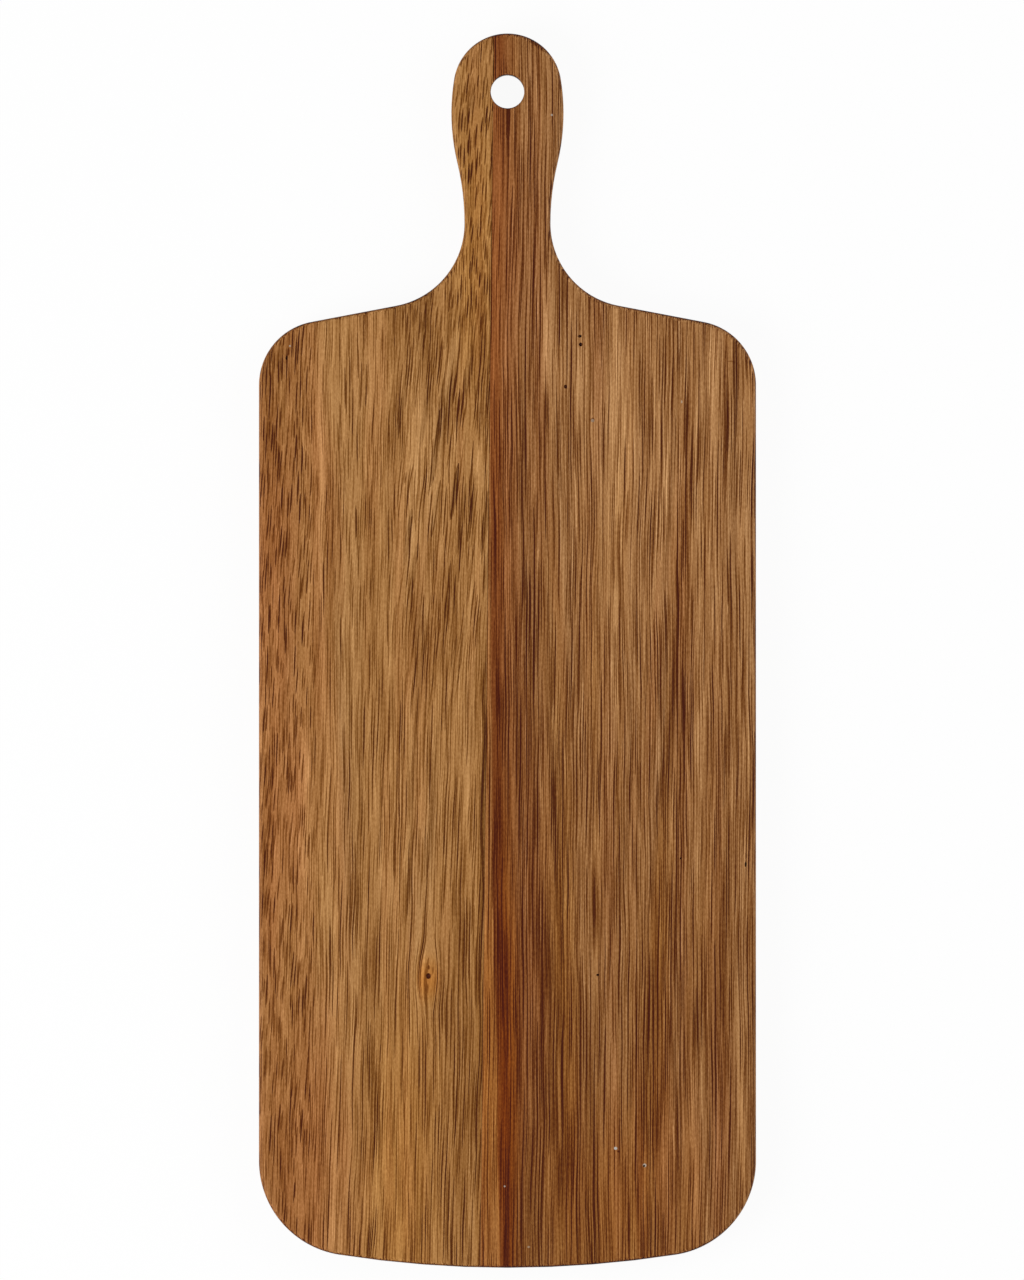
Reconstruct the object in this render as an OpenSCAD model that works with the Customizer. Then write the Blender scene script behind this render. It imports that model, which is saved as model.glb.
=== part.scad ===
// Paddle charcuterie board: two hardwood staves edge-glued along a slightly
// leaning joint, cut to a paddle outline, eased along every edge and drilled for hanging.
// The board lies flat: X across, Y from the foot to the handle, Z up from its underside.

/* [Board] */
// Overall length, from the handle's end to the foot
board_l = 442; // [380:1:520]
// Width across the blade's straight sides
board_w = 178; // [150:1:220]
// Thickness of the planed staves
board_t = 15; // [10:0.5:22]
// Radius of the rounded arris along both faces
arris_r = 1.5; // [0.5:0.1:4]

/* [Handle] */
// Width at the widest place of the grip
grip_w = 40.2; // [38:0.2:46]
// Distance from the handle's end to the widest place of the grip
grip_at = 28.5; // [24:0.5:32]
// Width at the narrowest place of the neck
neck_w = 30.8; // [26:0.2:34]
// Distance from the handle's end to the narrowest place of the neck
neck_at = 68; // [62:0.5:78]
// Radius of the fillet between the neck and the shoulder
fillet_r = 30; // [22:0.5:34]

/* [Blade] */
// Fall of the shoulders towards the sides, in degrees
shoulder_fall = 10.8; // [4:0.2:16]
// Radius of the corners between the shoulders and the sides
shoulder_r = 23; // [14:0.5:28]
// Radius of the corners between the sides and the foot
foot_corner_r = 34; // [20:0.5:42]
// Radius of the bow of the foot
foot_r = 390; // [260:5:600]

/* [Hanging hole] */
// Diameter of the drilled hole
hole_d = 12; // [8:0.5:14]
// Distance from the handle's end to the middle of the hole
hole_at = 20.8; // [17:0.2:26]
// Width of the chamfer round both mouths of the hole
rim_c = 0.6; // [0.3:0.1:1.5]

/* [Glue joint] */
// How far the joint lies left of the middle at the handle's end
joint_tip = 4.9; // [3:0.1:9]
// How far the joint lies left of the middle at the foot
joint_foot = 9.8; // [3:0.1:20]
// Thickness of the cured glue film
glue_t = 0.15; // [0.1:0.05:0.4]

/* [Hidden] */
$fn = 96;

// How far a cut runs past what it cuts
overrun = 1;
// How far a chord may lie inside the arc that it stands for
chord_sag = 0.03;
// Facets across the quarter round of an arris
arris_steps = 5;
// The grip's arc as a share of the two radii of the curve from grip to neck
grip_curve_share = 0.444;

tip_y = board_l / 2;
foot_y = -board_l / 2;

// Two arcs that bend opposite ways join the widest place of the grip to the narrowest
// of the neck. Their radii add up to a sum that the two places set.
waist_in = (grip_w - neck_w) / 2;
waist_run = neck_at - grip_at;
waist_radii = (waist_in * waist_in + waist_run * waist_run) / (2 * waist_in);
grip_r = waist_radii * grip_curve_share;
neck_r = waist_radii - grip_r;
grip_c = [grip_w / 2 - grip_r, tip_y - grip_at];
neck_c = [neck_w / 2 + neck_r, tip_y - neck_at];
waist_a = bearing(grip_c, neck_c);

// The handle's round end is tangent inside both grip arcs.
tip_r = (grip_r * grip_w - pow(grip_w / 2, 2) - grip_at * grip_at) / (2 * (grip_r - grip_at));
tip_c = [0, tip_y - tip_r];
tip_a = bearing(grip_c, tip_c);

// The fillet leaves the neck and runs into the sloping shoulder.
fillet_c = [neck_w / 2 + fillet_r, tip_y - neck_at];
shoulder_n = [sin(shoulder_fall), cos(shoulder_fall)];
shoulder_start = fillet_c - fillet_r * shoulder_n;
shoulder_run = board_w / 2 - shoulder_r + shoulder_r * shoulder_n.x - shoulder_start.x;
shoulder_end = shoulder_start + shoulder_run * [1, -tan(shoulder_fall)];
shoulder_c = shoulder_end - shoulder_r * shoulder_n;

// The bowed foot, with a corner arc tangent inside it and to the side.
foot_c = [0, foot_y + foot_r];
foot_corner_x = board_w / 2 - foot_corner_r;
foot_corner_c = [foot_corner_x, foot_c.y - sqrt(pow(foot_r - foot_corner_r, 2) - pow(foot_corner_x, 2))];
foot_a = bearing(foot_c, foot_corner_c);

joint_lean = atan((joint_foot - joint_tip) / board_l);
joint_x = -(joint_tip + joint_foot) / 2;

// Direction from one point to another, in degrees
function bearing(p, q) = atan2(q.y - p.y, q.x - p.x);
// A list without its first entry
function rest(v) = [for (i = [1 : len(v) - 1]) v[i]];
// Points along an arc, each with the normal that points out of the board.
// side is 1 where the board fills the arc, and -1 where the arc bites into the board.
function arc(c, r, from, to, side) =
    let (steps = ceil(abs(to - from) / (2 * acos(1 - chord_sag / r))))
    [for (i = [0 : steps])
        let (a = from + (to - from) * i / steps, out = [cos(a), sin(a)])
        [c + r * out, side * out]];

// The right half of the outline, from the handle's end to the middle of the foot
half_edge = concat(
    arc(tip_c, tip_r, 90, tip_a, 1),
    rest(arc(grip_c, grip_r, tip_a, waist_a, 1)),
    rest(arc(neck_c, neck_r, 180 + waist_a, 180, -1)),
    rest(arc(fillet_c, fillet_r, 180, 270 - shoulder_fall, -1)),
    arc(shoulder_c, shoulder_r, 90 - shoulder_fall, 0, 1),
    arc(foot_corner_c, foot_corner_r, 0, foot_a, 1),
    rest(arc(foot_c, foot_r, foot_a, -90, 1)));
half_n = len(half_edge);

// The whole outline: down the right half, then up the mirrored left half
edge = concat(
    half_edge,
    [for (i = [half_n - 2 : -1 : 1])
        [for (v = half_edge[i]) [-v.x, v.y]]]);
edge_n = len(edge);

// Height and inset of each ring of points, up the lower arris and over the upper one
quarter = [for (i = [0 : arris_steps])
    let (a = 90 * i / arris_steps)
    [arris_r * (1 - cos(a)), arris_r * (1 - sin(a))]];
rings = concat(
    quarter,
    [for (i = [arris_steps : -1 : 0]) [board_t - quarter[i][0], quarter[i][1]]]);
ring_n = len(rings);

// The glued-up board, cut to its outline and eased along both faces
module paddle() {
    points = [for (ring = rings) for (e = edge)
        let (p = e[0] - ring[1] * e[1])
        [p.x, p.y, ring[0]]];
    walls = [for (j = [0 : ring_n - 2]) for (i = [0 : edge_n - 1])
        let (a = j * edge_n, b = a + edge_n, next = (i + 1) % edge_n)
        [a + i, a + next, b + next, b + i]];
    // Each face is a ladder of rungs between the mirrored halves.
    rungs = [for (i = [0 : half_n - 2])
        let (left = (edge_n - i) % edge_n)
        i == 0 ? [0, 1, edge_n - 1]
        : i == half_n - 2 ? [i, i + 1, left]
        : [i, i + 1, left - 1, left]];
    top = (ring_n - 1) * edge_n;
    upper = [for (rung = rungs) [for (k = rung) top + k]];
    lower = [for (rung = rungs) [for (i = [len(rung) - 1 : -1 : 0]) rung[i]]];
    polyhedron(points, concat(walls, upper, lower), convexity = 6);
}

// The part of the board between two distances across the glue joint
module across_joint(from, to) {
    intersection() {
        paddle();
        translate([joint_x, 0, 0])
            rotate([0, 0, -joint_lean])
                translate([from, -board_l, -overrun])
                    cube([to - from, 2 * board_l, board_t + 2 * overrun]);
    }
}

// The drilled hole, with a chamfer round each mouth
module hanging_hole() {
    mouth_r = hole_d / 2 + rim_c + overrun;
    translate([0, tip_y - hole_at, 0]) {
        translate([0, 0, -overrun])
            cylinder(d = hole_d, h = board_t + 2 * overrun);
        translate([0, 0, -overrun])
            cylinder(r1 = mouth_r, r2 = hole_d / 2, h = rim_c + overrun);
        translate([0, 0, board_t - rim_c])
            cylinder(r1 = hole_d / 2, r2 = mouth_r, h = rim_c + overrun);
    }
}

// Golden stave with slanting, broken grain
module left_stave() {
    color("#a8753f")
        difference() {
            across_joint(-board_w, -glue_t / 2);
            hanging_hole();
        }
}

// Darker stave with straight grain and a red heart band along the joint
module right_stave() {
    color("#8a5a32")
        difference() {
            across_joint(glue_t / 2, board_w);
            hanging_hole();
        }
}

// Cured glue between the staves
module glue_line() {
    color("#5a3416")
        difference() {
            across_joint(-glue_t / 2, glue_t / 2);
            hanging_hole();
        }
}

left_stave();
right_stave();
glue_line();
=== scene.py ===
"""Paddle charcuterie board: two oiled hardwood staves, glued edge to edge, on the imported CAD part."""
import math
from typing import NamedTuple

import bmesh
import bpy
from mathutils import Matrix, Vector


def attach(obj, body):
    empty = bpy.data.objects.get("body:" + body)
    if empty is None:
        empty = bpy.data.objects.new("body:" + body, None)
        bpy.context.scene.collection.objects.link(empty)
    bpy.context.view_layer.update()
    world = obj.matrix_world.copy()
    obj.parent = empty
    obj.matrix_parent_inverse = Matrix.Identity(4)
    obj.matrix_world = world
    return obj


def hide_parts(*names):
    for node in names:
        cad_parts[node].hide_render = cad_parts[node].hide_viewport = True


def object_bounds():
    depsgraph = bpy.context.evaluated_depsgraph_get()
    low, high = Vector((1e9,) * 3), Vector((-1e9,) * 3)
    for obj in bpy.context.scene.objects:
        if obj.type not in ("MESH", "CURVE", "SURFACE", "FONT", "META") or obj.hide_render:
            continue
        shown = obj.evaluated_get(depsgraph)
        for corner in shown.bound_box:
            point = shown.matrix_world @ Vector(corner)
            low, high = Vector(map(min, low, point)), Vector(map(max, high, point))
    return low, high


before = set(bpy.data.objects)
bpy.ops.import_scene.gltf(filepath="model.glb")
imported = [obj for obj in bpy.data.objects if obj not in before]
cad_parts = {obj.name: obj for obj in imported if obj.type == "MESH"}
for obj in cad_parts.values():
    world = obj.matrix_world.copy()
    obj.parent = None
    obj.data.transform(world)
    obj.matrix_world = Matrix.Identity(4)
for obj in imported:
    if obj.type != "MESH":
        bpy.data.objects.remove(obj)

bl_info = {
    "name": "Paddle Charcuterie Board",
    "version": (1, 0, 0),
    "blender": (4, 5, 0),
    "location": "View3D > Sidebar > Paddle Board",
    "description": "Models the board's staves and sets them on a white studio floor",
    "category": "Add Mesh",
}

MM = 0.001
CAD_LOW, CAD_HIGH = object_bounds()
CAD_SPAN = CAD_HIGH - CAD_LOW


def length(name, description, default):
    """A length property in metres."""
    return bpy.props.FloatProperty(
        name=name, description=description, default=default, unit="LENGTH", precision=5
    )


def tone(name, description, default):
    """A display colour property, as the eye reads it."""
    return bpy.props.FloatVectorProperty(
        name=name, description=description, default=default, subtype="COLOR_GAMMA", size=3, min=0, max=1
    )


class PaddleSizes(bpy.types.PropertyGroup):
    """Sizes of the board, which follow the CAD part."""

    board_l: length("Length", "From the handle's end to the foot", CAD_SPAN.y)
    board_w: length("Width", "Across the blade's straight sides", CAD_SPAN.x)
    board_t: length("Thickness", "Of the planed staves", CAD_SPAN.z)
    arris_r: length("Arris", "Radius of the rounded edge along both faces", 1.5 * MM)
    grip_w: length("Grip Width", "At the widest place of the handle", 40.2 * MM)
    grip_at: length("Grip Place", "From the handle's end to its widest place", 28.5 * MM)
    neck_w: length("Neck Width", "At the narrowest place of the handle", 30.8 * MM)
    neck_at: length("Neck Place", "From the handle's end to its narrowest place", 68 * MM)
    grip_curve_share: bpy.props.FloatProperty(
        name="Grip Curve Share",
        description="The grip's arc as a share of the two radii from grip to neck",
        default=0.444,
        min=0.2,
        max=0.8,
        subtype="FACTOR",
    )
    fillet_r: length("Neck Fillet", "Radius between the neck and the shoulder", 30 * MM)
    shoulder_fall: bpy.props.FloatProperty(
        name="Shoulder Fall",
        description="Slope of the shoulders towards the sides",
        default=math.radians(10.8),
        subtype="ANGLE",
    )
    shoulder_r: length("Shoulder Corner", "Radius between a shoulder and a side", 23 * MM)
    foot_corner_r: length("Foot Corner", "Radius between a side and the foot", 34 * MM)
    foot_r: length("Foot Bow", "Radius of the bowed foot", 390 * MM)
    hole_d: length("Hole", "Diameter of the hanging hole", 12 * MM)
    hole_at: length("Hole Place", "From the handle's end to the middle of the hole", 20.8 * MM)
    rim_r: length("Hole Rim", "Rounding of the hole's mouths", 0.6 * MM)
    joint_tip: length("Joint at Handle", "How far left of the middle the glue joint starts", 4.9 * MM)
    joint_foot: length("Joint at Foot", "How far left of the middle the glue joint ends", 9.8 * MM)
    glue_t: length("Glue Film", "Thickness of the cured glue", 0.15 * MM)


class WoodTones(bpy.types.PropertyGroup):
    """Colours of the oiled wood."""

    left_dark: tone("Golden Stave Dark", "Deepest pores of the golden stave", (0.315, 0.150, 0.0))
    left_light: tone("Golden Stave Light", "Palest grain of the golden stave", (0.785, 0.580, 0.365))
    right_dark: tone("Brown Stave Dark", "Deepest pores of the brown stave", (0.300, 0.130, 0.0))
    right_light: tone("Brown Stave Light", "Palest grain of the brown stave", (0.775, 0.575, 0.380))
    heart: tone("Heart Tint", "Tint of the red heart along the joint", (1.0, 0.87, 0.78))
    red: tone("Red Tint", "Tint of reddish grain", (1.0, 0.90, 0.90))
    gold: tone("Golden Tint", "Tint of the golden grain", (1.0, 0.94, 0.72))
    grey: tone("Mineral Tint", "Tint of the grey mineral streaks", (0.95, 0.965, 1.0))
    speck: tone("Speck", "Pale filler in the largest pits", (0.72, 0.70, 0.68))
    glue: tone("Glue", "Cured glue between the staves", (0.36, 0.21, 0.09))


class StudioSettings(bpy.types.PropertyGroup):
    """Camera and light."""

    lens: bpy.props.FloatProperty(
        name="Lens", description="Focal length in millimetres", default=800, min=20, unit="CAMERA"
    )
    sky: bpy.props.FloatProperty(
        name="Sky", description="Strength of the even light from all round", default=0.77, min=0
    )
    key: bpy.props.FloatProperty(
        name="Key", description="Power of the soft light from the left", default=15.5, min=0, unit="POWER"
    )
    fill: bpy.props.FloatProperty(
        name="Fill", description="Power of the soft light from the right", default=6.0, min=0, unit="POWER"
    )


# How finely the staves are modelled, and their open pits
ARC_STEP = math.radians(2.5)
ARRIS_SEGMENTS = 6
RIM_SEGMENTS = 4
HOLE_SIDES = 128
SMOOTH_ANGLE = math.radians(35)
PIT_SEGMENTS = 16
PIT_SHARE = 0.8
PIT_DEPTH = 0.6 * MM
PIT_RAISE = 0.07 * MM
TOUCH = 1e-6


def bearing(start, end):
    """Direction from one point to another, in the plane of the board."""
    return math.atan2(end.y - start.y, end.x - start.x)


def start_piece(name, size, place):
    """Adds a small plane and draws it together into one point, the start of an outline."""
    bpy.ops.object.select_all(action="DESELECT")
    bpy.ops.mesh.primitive_plane_add(size=size, location=place)
    piece = bpy.context.object
    piece.name = piece.data.name = name
    bpy.ops.object.mode_set(mode="EDIT")
    bpy.ops.mesh.select_mode(type="VERT")
    bpy.ops.mesh.select_all(action="SELECT")
    bpy.ops.mesh.merge(type="CENTER")
    return piece


def sweep(centre, angle):
    """Draws the outline on along an arc. A positive angle turns clockwise, seen from above."""
    steps = max(1, math.ceil(abs(angle) / ARC_STEP))
    bpy.ops.mesh.spin(steps=steps, angle=angle, center=(centre.x, centre.y, 0), axis=(0, 0, 1))


def run(step):
    """Draws the outline on along a straight line."""
    bpy.ops.mesh.extrude_vertices_move(TRANSFORM_OT_translate={"value": (step.x, step.y, 0)})


def draw_half_outline(sizes):
    """Draws the right half of the paddle, from the handle's end to the middle of the foot."""
    tip_y = sizes.board_l / 2
    waist_in = (sizes.grip_w - sizes.neck_w) / 2
    waist_run = sizes.neck_at - sizes.grip_at
    waist_radii = (waist_in**2 + waist_run**2) / (2 * waist_in)
    grip_r = waist_radii * sizes.grip_curve_share
    neck_r = waist_radii - grip_r
    grip_c = Vector((sizes.grip_w / 2 - grip_r, tip_y - sizes.grip_at))
    neck_c = Vector((sizes.neck_w / 2 + neck_r, tip_y - sizes.neck_at))
    waist_a = bearing(grip_c, neck_c)
    tip_reach = grip_r * sizes.grip_w - (sizes.grip_w / 2) ** 2 - sizes.grip_at**2
    tip_r = tip_reach / (2 * (grip_r - sizes.grip_at))
    tip_c = Vector((0, tip_y - tip_r))
    tip_a = bearing(grip_c, tip_c)

    fall = sizes.shoulder_fall
    fillet_c = Vector((sizes.neck_w / 2 + sizes.fillet_r, tip_y - sizes.neck_at))
    shoulder_n = Vector((math.sin(fall), math.cos(fall)))
    shoulder_start = fillet_c - sizes.fillet_r * shoulder_n
    shoulder_x = sizes.board_w / 2 - sizes.shoulder_r + sizes.shoulder_r * shoulder_n.x
    shoulder_run = Vector((1, -math.tan(fall))) * (shoulder_x - shoulder_start.x)
    shoulder_c = shoulder_start + shoulder_run - sizes.shoulder_r * shoulder_n

    foot_c = Vector((0, sizes.foot_r - sizes.board_l / 2))
    corner_x = sizes.board_w / 2 - sizes.foot_corner_r
    corner_y = foot_c.y - math.sqrt((sizes.foot_r - sizes.foot_corner_r) ** 2 - corner_x**2)
    corner_c = Vector((corner_x, corner_y))
    foot_a = bearing(foot_c, corner_c)

    quarter = math.pi / 2
    sweep(tip_c, quarter - tip_a)
    sweep(grip_c, tip_a - waist_a)
    sweep(neck_c, waist_a)
    sweep(fillet_c, fall - quarter)
    run(shoulder_run)
    sweep(shoulder_c, quarter - fall)
    run(Vector((0, corner_c.y - shoulder_c.y)))
    sweep(corner_c, -foot_a)
    sweep(foot_c, foot_a + quarter)


def apply_modifier(piece, kind, **settings):
    """Adds a modifier to the piece and applies it."""
    modifier = piece.modifiers.new(kind.title(), kind)
    for key, value in settings.items():
        setattr(modifier, key, value)
    bpy.ops.object.modifier_apply(modifier=modifier.name)


def joint_normal(sizes):
    """Direction across the glue joint, towards the right stave."""
    along = Vector((sizes.joint_foot - sizes.joint_tip, sizes.board_l, 0))
    return Vector((along.y, -along.x, 0)).normalized()


def joint_middle(sizes):
    """Middle of the glue joint, on the underside."""
    return Vector((-(sizes.joint_tip + sizes.joint_foot) / 2, 0, 0))


def select_edges(piece, wanted):
    """Selects the edges for which wanted(start, end) is true, in edit mode."""
    bpy.ops.mesh.select_mode(type="EDGE")
    bpy.ops.mesh.select_all(action="DESELECT")
    mesh = bmesh.from_edit_mesh(piece.data)
    for edge in mesh.edges:
        if wanted(edge.verts[0].co, edge.verts[1].co):
            edge.select_set(True)
    bmesh.update_edit_mesh(piece.data)


def saw_stave(sizes, side):
    """Cuts away what lies beyond the glue joint. The side is -1 for the left stave, 1 for the right."""
    normal = joint_normal(sizes) * side
    bpy.ops.mesh.select_all(action="SELECT")
    bpy.ops.mesh.bisect(
        plane_co=joint_middle(sizes) + normal * sizes.glue_t / 2, plane_no=normal, clear_inner=True
    )


def cut_away(piece, cutter):
    """Takes the cutter's shape out of the piece, and removes the cutter."""
    bpy.ops.object.select_all(action="DESELECT")
    piece.select_set(True)
    bpy.context.view_layer.objects.active = piece
    apply_modifier(piece, "BOOLEAN", operation="DIFFERENCE", object=cutter, solver="EXACT")
    bpy.data.objects.remove(cutter)


def drill_hole(piece, sizes):
    """Bores the hanging hole through the stave."""
    bpy.ops.object.select_all(action="DESELECT")
    bpy.ops.mesh.primitive_cylinder_add(
        vertices=HOLE_SIDES,
        radius=sizes.hole_d / 2,
        depth=sizes.board_t * 2,
        location=(0, sizes.board_l / 2 - sizes.hole_at, sizes.board_t / 2),
    )
    cut_away(piece, bpy.context.object)


def sink_pits(piece, sizes, pits):
    """Hollows the open pits of the wood out of the upper face."""
    for pit in pits:
        bpy.ops.object.select_all(action="DESELECT")
        bpy.ops.mesh.primitive_uv_sphere_add(
            segments=PIT_SEGMENTS,
            ring_count=PIT_SEGMENTS // 2,
            radius=MM,
            location=(pit.x * MM, pit.y * MM, sizes.board_t + PIT_RAISE),
            scale=(pit.across * PIT_SHARE, pit.along * PIT_SHARE, PIT_DEPTH / MM),
        )
        cut_away(piece, bpy.context.object)


def ease_edges(piece, sizes):
    """Rounds the arrises of the outline and the mouths of the hole, and leaves the joint's edges sharp."""
    normal = joint_normal(sizes)
    middle = joint_middle(sizes)
    hole = Vector((0, sizes.board_l / 2 - sizes.hole_at))
    faces = (0, sizes.board_t)

    def on_face(start, end):
        return any(abs(start.z - z) < TOUCH and abs(end.z - z) < TOUCH for z in faces)

    def on_joint(start, end):
        return all(abs((point - middle).dot(normal)) < sizes.glue_t for point in (start, end))

    def on_hole(start, end):
        return all((point.xy - hole).length < sizes.hole_d / 2 + sizes.rim_r for point in (start, end))

    def outline(start, end):
        return on_face(start, end) and not on_joint(start, end) and not on_hole(start, end)

    def mouth(start, end):
        return on_face(start, end) and on_hole(start, end) and not on_joint(start, end)

    bpy.ops.object.mode_set(mode="EDIT")
    select_edges(piece, outline)
    bpy.ops.mesh.bevel(offset=sizes.arris_r, segments=ARRIS_SEGMENTS, profile=0.5, affect="EDGES")
    select_edges(piece, mouth)
    bpy.ops.mesh.bevel(offset=sizes.rim_r, segments=RIM_SEGMENTS, profile=0.5, affect="EDGES")
    bpy.ops.object.mode_set(mode="OBJECT")


def model_stave(name, sizes, side, pits):
    """Models one stave of the board and returns its object."""
    piece = start_piece(name, sizes.arris_r, (0, sizes.board_l / 2, 0))
    draw_half_outline(sizes)
    bpy.ops.object.mode_set(mode="OBJECT")
    bpy.ops.object.transform_apply(location=True, rotation=True, scale=True)
    apply_modifier(piece, "MIRROR", merge_threshold=TOUCH)
    bpy.ops.object.mode_set(mode="EDIT")
    bpy.ops.mesh.select_all(action="SELECT")
    bpy.ops.mesh.edge_face_add()
    saw_stave(sizes, side)
    bpy.ops.mesh.select_all(action="SELECT")
    bpy.ops.mesh.extrude_region_move(TRANSFORM_OT_translate={"value": (0, 0, sizes.board_t)})
    bpy.ops.mesh.select_all(action="SELECT")
    bpy.ops.mesh.normals_make_consistent(inside=False)
    bpy.ops.object.mode_set(mode="OBJECT")
    drill_hole(piece, sizes)
    ease_edges(piece, sizes)
    sink_pits(piece, sizes, pits)
    bpy.ops.object.shade_smooth_by_angle(angle=SMOOTH_ANGLE)
    apply_modifier(piece, "WEIGHTED_NORMAL", keep_sharp=True)
    return piece


def join(tree, socket, value):
    """Links a socket to another, or sets it to a plain value."""
    if isinstance(value, bpy.types.NodeSocket):
        tree.links.new(value, socket)
    else:
        socket.default_value = value


def add_node(tree, kind, sockets=None, **settings):
    """Adds a node, with its settings and the values or links of its input sockets."""
    node = tree.nodes.new(kind)
    for key, value in settings.items():
        setattr(node, key, value)
    for key, value in (sockets or {}).items():
        join(tree, node.inputs[key], value)
    return node


def calc(tree, operation, *values):
    """A Math node's result."""
    return add_node(tree, "ShaderNodeMath", dict(enumerate(values)), operation=operation).outputs[0]


def less(tree, value, other):
    """What is left of value when other is taken off it, and never below 0."""
    return calc(tree, "MAXIMUM", calc(tree, "SUBTRACT", value, other), 0.0)


def vector_calc(tree, operation, *values):
    """A Vector Math node's result."""
    node = add_node(tree, "ShaderNodeVectorMath", dict(enumerate(values)), operation=operation)
    return node.outputs["Value" if operation in {"LENGTH", "DOT_PRODUCT"} else "Vector"]


def ramp(tree, value, low, high, to_low=0.0, to_high=1.0):
    """A soft step from to_low to to_high as value goes from low to high. It needs no clamp."""
    node = add_node(
        tree,
        "ShaderNodeMapRange",
        {"Value": value, "From Min": low, "From Max": high, "To Min": to_low, "To Max": to_high},
        interpolation_type="SMOOTHSTEP",
        clamp=False,
    )
    return node.outputs["Result"]


def new_group(name, inputs, outputs):
    """Starts a shader node group. Returns its tree, the sockets it is given and those it puts out."""
    tree = bpy.data.node_groups.new(name, "ShaderNodeTree")
    for label, kind, default in inputs:
        socket = tree.interface.new_socket(label, in_out="INPUT", socket_type=kind)
        if default is not None:
            socket.default_value = default
    for label, kind in outputs:
        tree.interface.new_socket(label, in_out="OUTPUT", socket_type=kind)
    entry = tree.nodes.new("NodeGroupInput")
    leave = tree.nodes.new("NodeGroupOutput")
    return tree, entry.outputs, leave.inputs


def bare_material(name):
    """A new material whose node tree is empty."""
    material = bpy.data.materials.new(name)
    material.use_nodes = True
    material.node_tree.nodes.clear()
    return material


FLOAT, VECTOR = "NodeSocketFloat", "NodeSocketVector"
DISPLAY_GAMMA = 2.2

# Noise is spread to about -1 to 1, and a pore mark is shaped in shares of its own cell
NOISE_DETAIL = 1.0
NOISE_MIDDLE = 0.5
NOISE_GAIN = 4.0
COLUMN_TURN, LAYER_TURN, ROW_SHIFT = 12.99, 78.23, 437.6
PORE_REACH = (0.2, 0.5)
PORE_PLACE = (0.2, 0.8)
PORE_DEPTH = (0.4, 1.0)
PORE_RIM = (1.3, 0.6)
PORE_DOUBT = 0.15


def even_noise(tree, place):
    """Even noise, about -1 to 1, with features about one unit wide."""
    node = add_node(
        tree, "ShaderNodeTexNoise", {"Vector": place, "Scale": 1.0, "Detail": NOISE_DETAIL}
    )
    centred = calc(tree, "SUBTRACT", node.outputs[0], NOISE_MIDDLE)
    return calc(tree, "MULTIPLY", centred, NOISE_GAIN)


def pick(tree, draw, bounds):
    """A value between two bounds, from a draw between 0 and 1."""
    low, high = bounds
    return calc(tree, "MULTIPLY_ADD", draw, high - low, low)


def spindle_group():
    """A soft spindle-shaped mark that leans across the grain, 1 in its middle and 0 past its reach."""
    tree, given, out = new_group(
        "Spindle Mark",
        [
            ("Grain", VECTOR, None),
            ("Middle", VECTOR, None),
            ("Reach", VECTOR, (1, 1, 1)),
            ("Lean", FLOAT, 0.0),
        ],
        [("Mask", FLOAT)],
    )
    offset = vector_calc(tree, "SUBTRACT", given["Grain"], given["Middle"])
    along = vector_calc(tree, "DOT_PRODUCT", offset, (0, 1, 0))
    sway = calc(tree, "MULTIPLY", along, given["Lean"])
    shift = add_node(tree, "ShaderNodeCombineXYZ", {0: sway})
    upright = vector_calc(tree, "SUBTRACT", offset, shift.outputs[0])
    away = vector_calc(tree, "LENGTH", vector_calc(tree, "DIVIDE", upright, given["Reach"]))
    join(tree, out["Mask"], ramp(tree, away, 1.0, 0.0))
    return tree


def stretch_group():
    """Places a point among marks of the given spacing and length, which lean across the grain."""
    ways = ("Across", "Along", "Deep")
    sockets = [(name, FLOAT, 0.0) for name in (*ways, "Spacing", "Length", "Lean", "Seed")]
    tree, given, out = new_group("Grain Stretch", sockets, [("Place", VECTOR)])
    shifted = [calc(tree, "ADD", given[way], given["Seed"]) for way in ways]
    back = calc(tree, "MULTIPLY", given["Lean"], -1.0)
    upright = calc(tree, "MULTIPLY_ADD", given["Along"], back, shifted[0])
    across = calc(tree, "DIVIDE", upright, given["Spacing"])
    along = calc(tree, "DIVIDE", shifted[1], given["Length"])
    deep = calc(tree, "DIVIDE", shifted[2], given["Spacing"])
    place = add_node(tree, "ShaderNodeCombineXYZ", {0: across, 1: along, 2: deep})
    join(tree, out["Place"], place.outputs[0])
    return tree


def streak_group():
    """Uneven streaks along the grain, about -1 to 1."""
    tree, given, out = new_group("Grain Streaks", [("Place", VECTOR, None)], [("Streaks", FLOAT)])
    join(tree, out["Streaks"], even_noise(tree, given["Place"]))
    return tree


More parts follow.
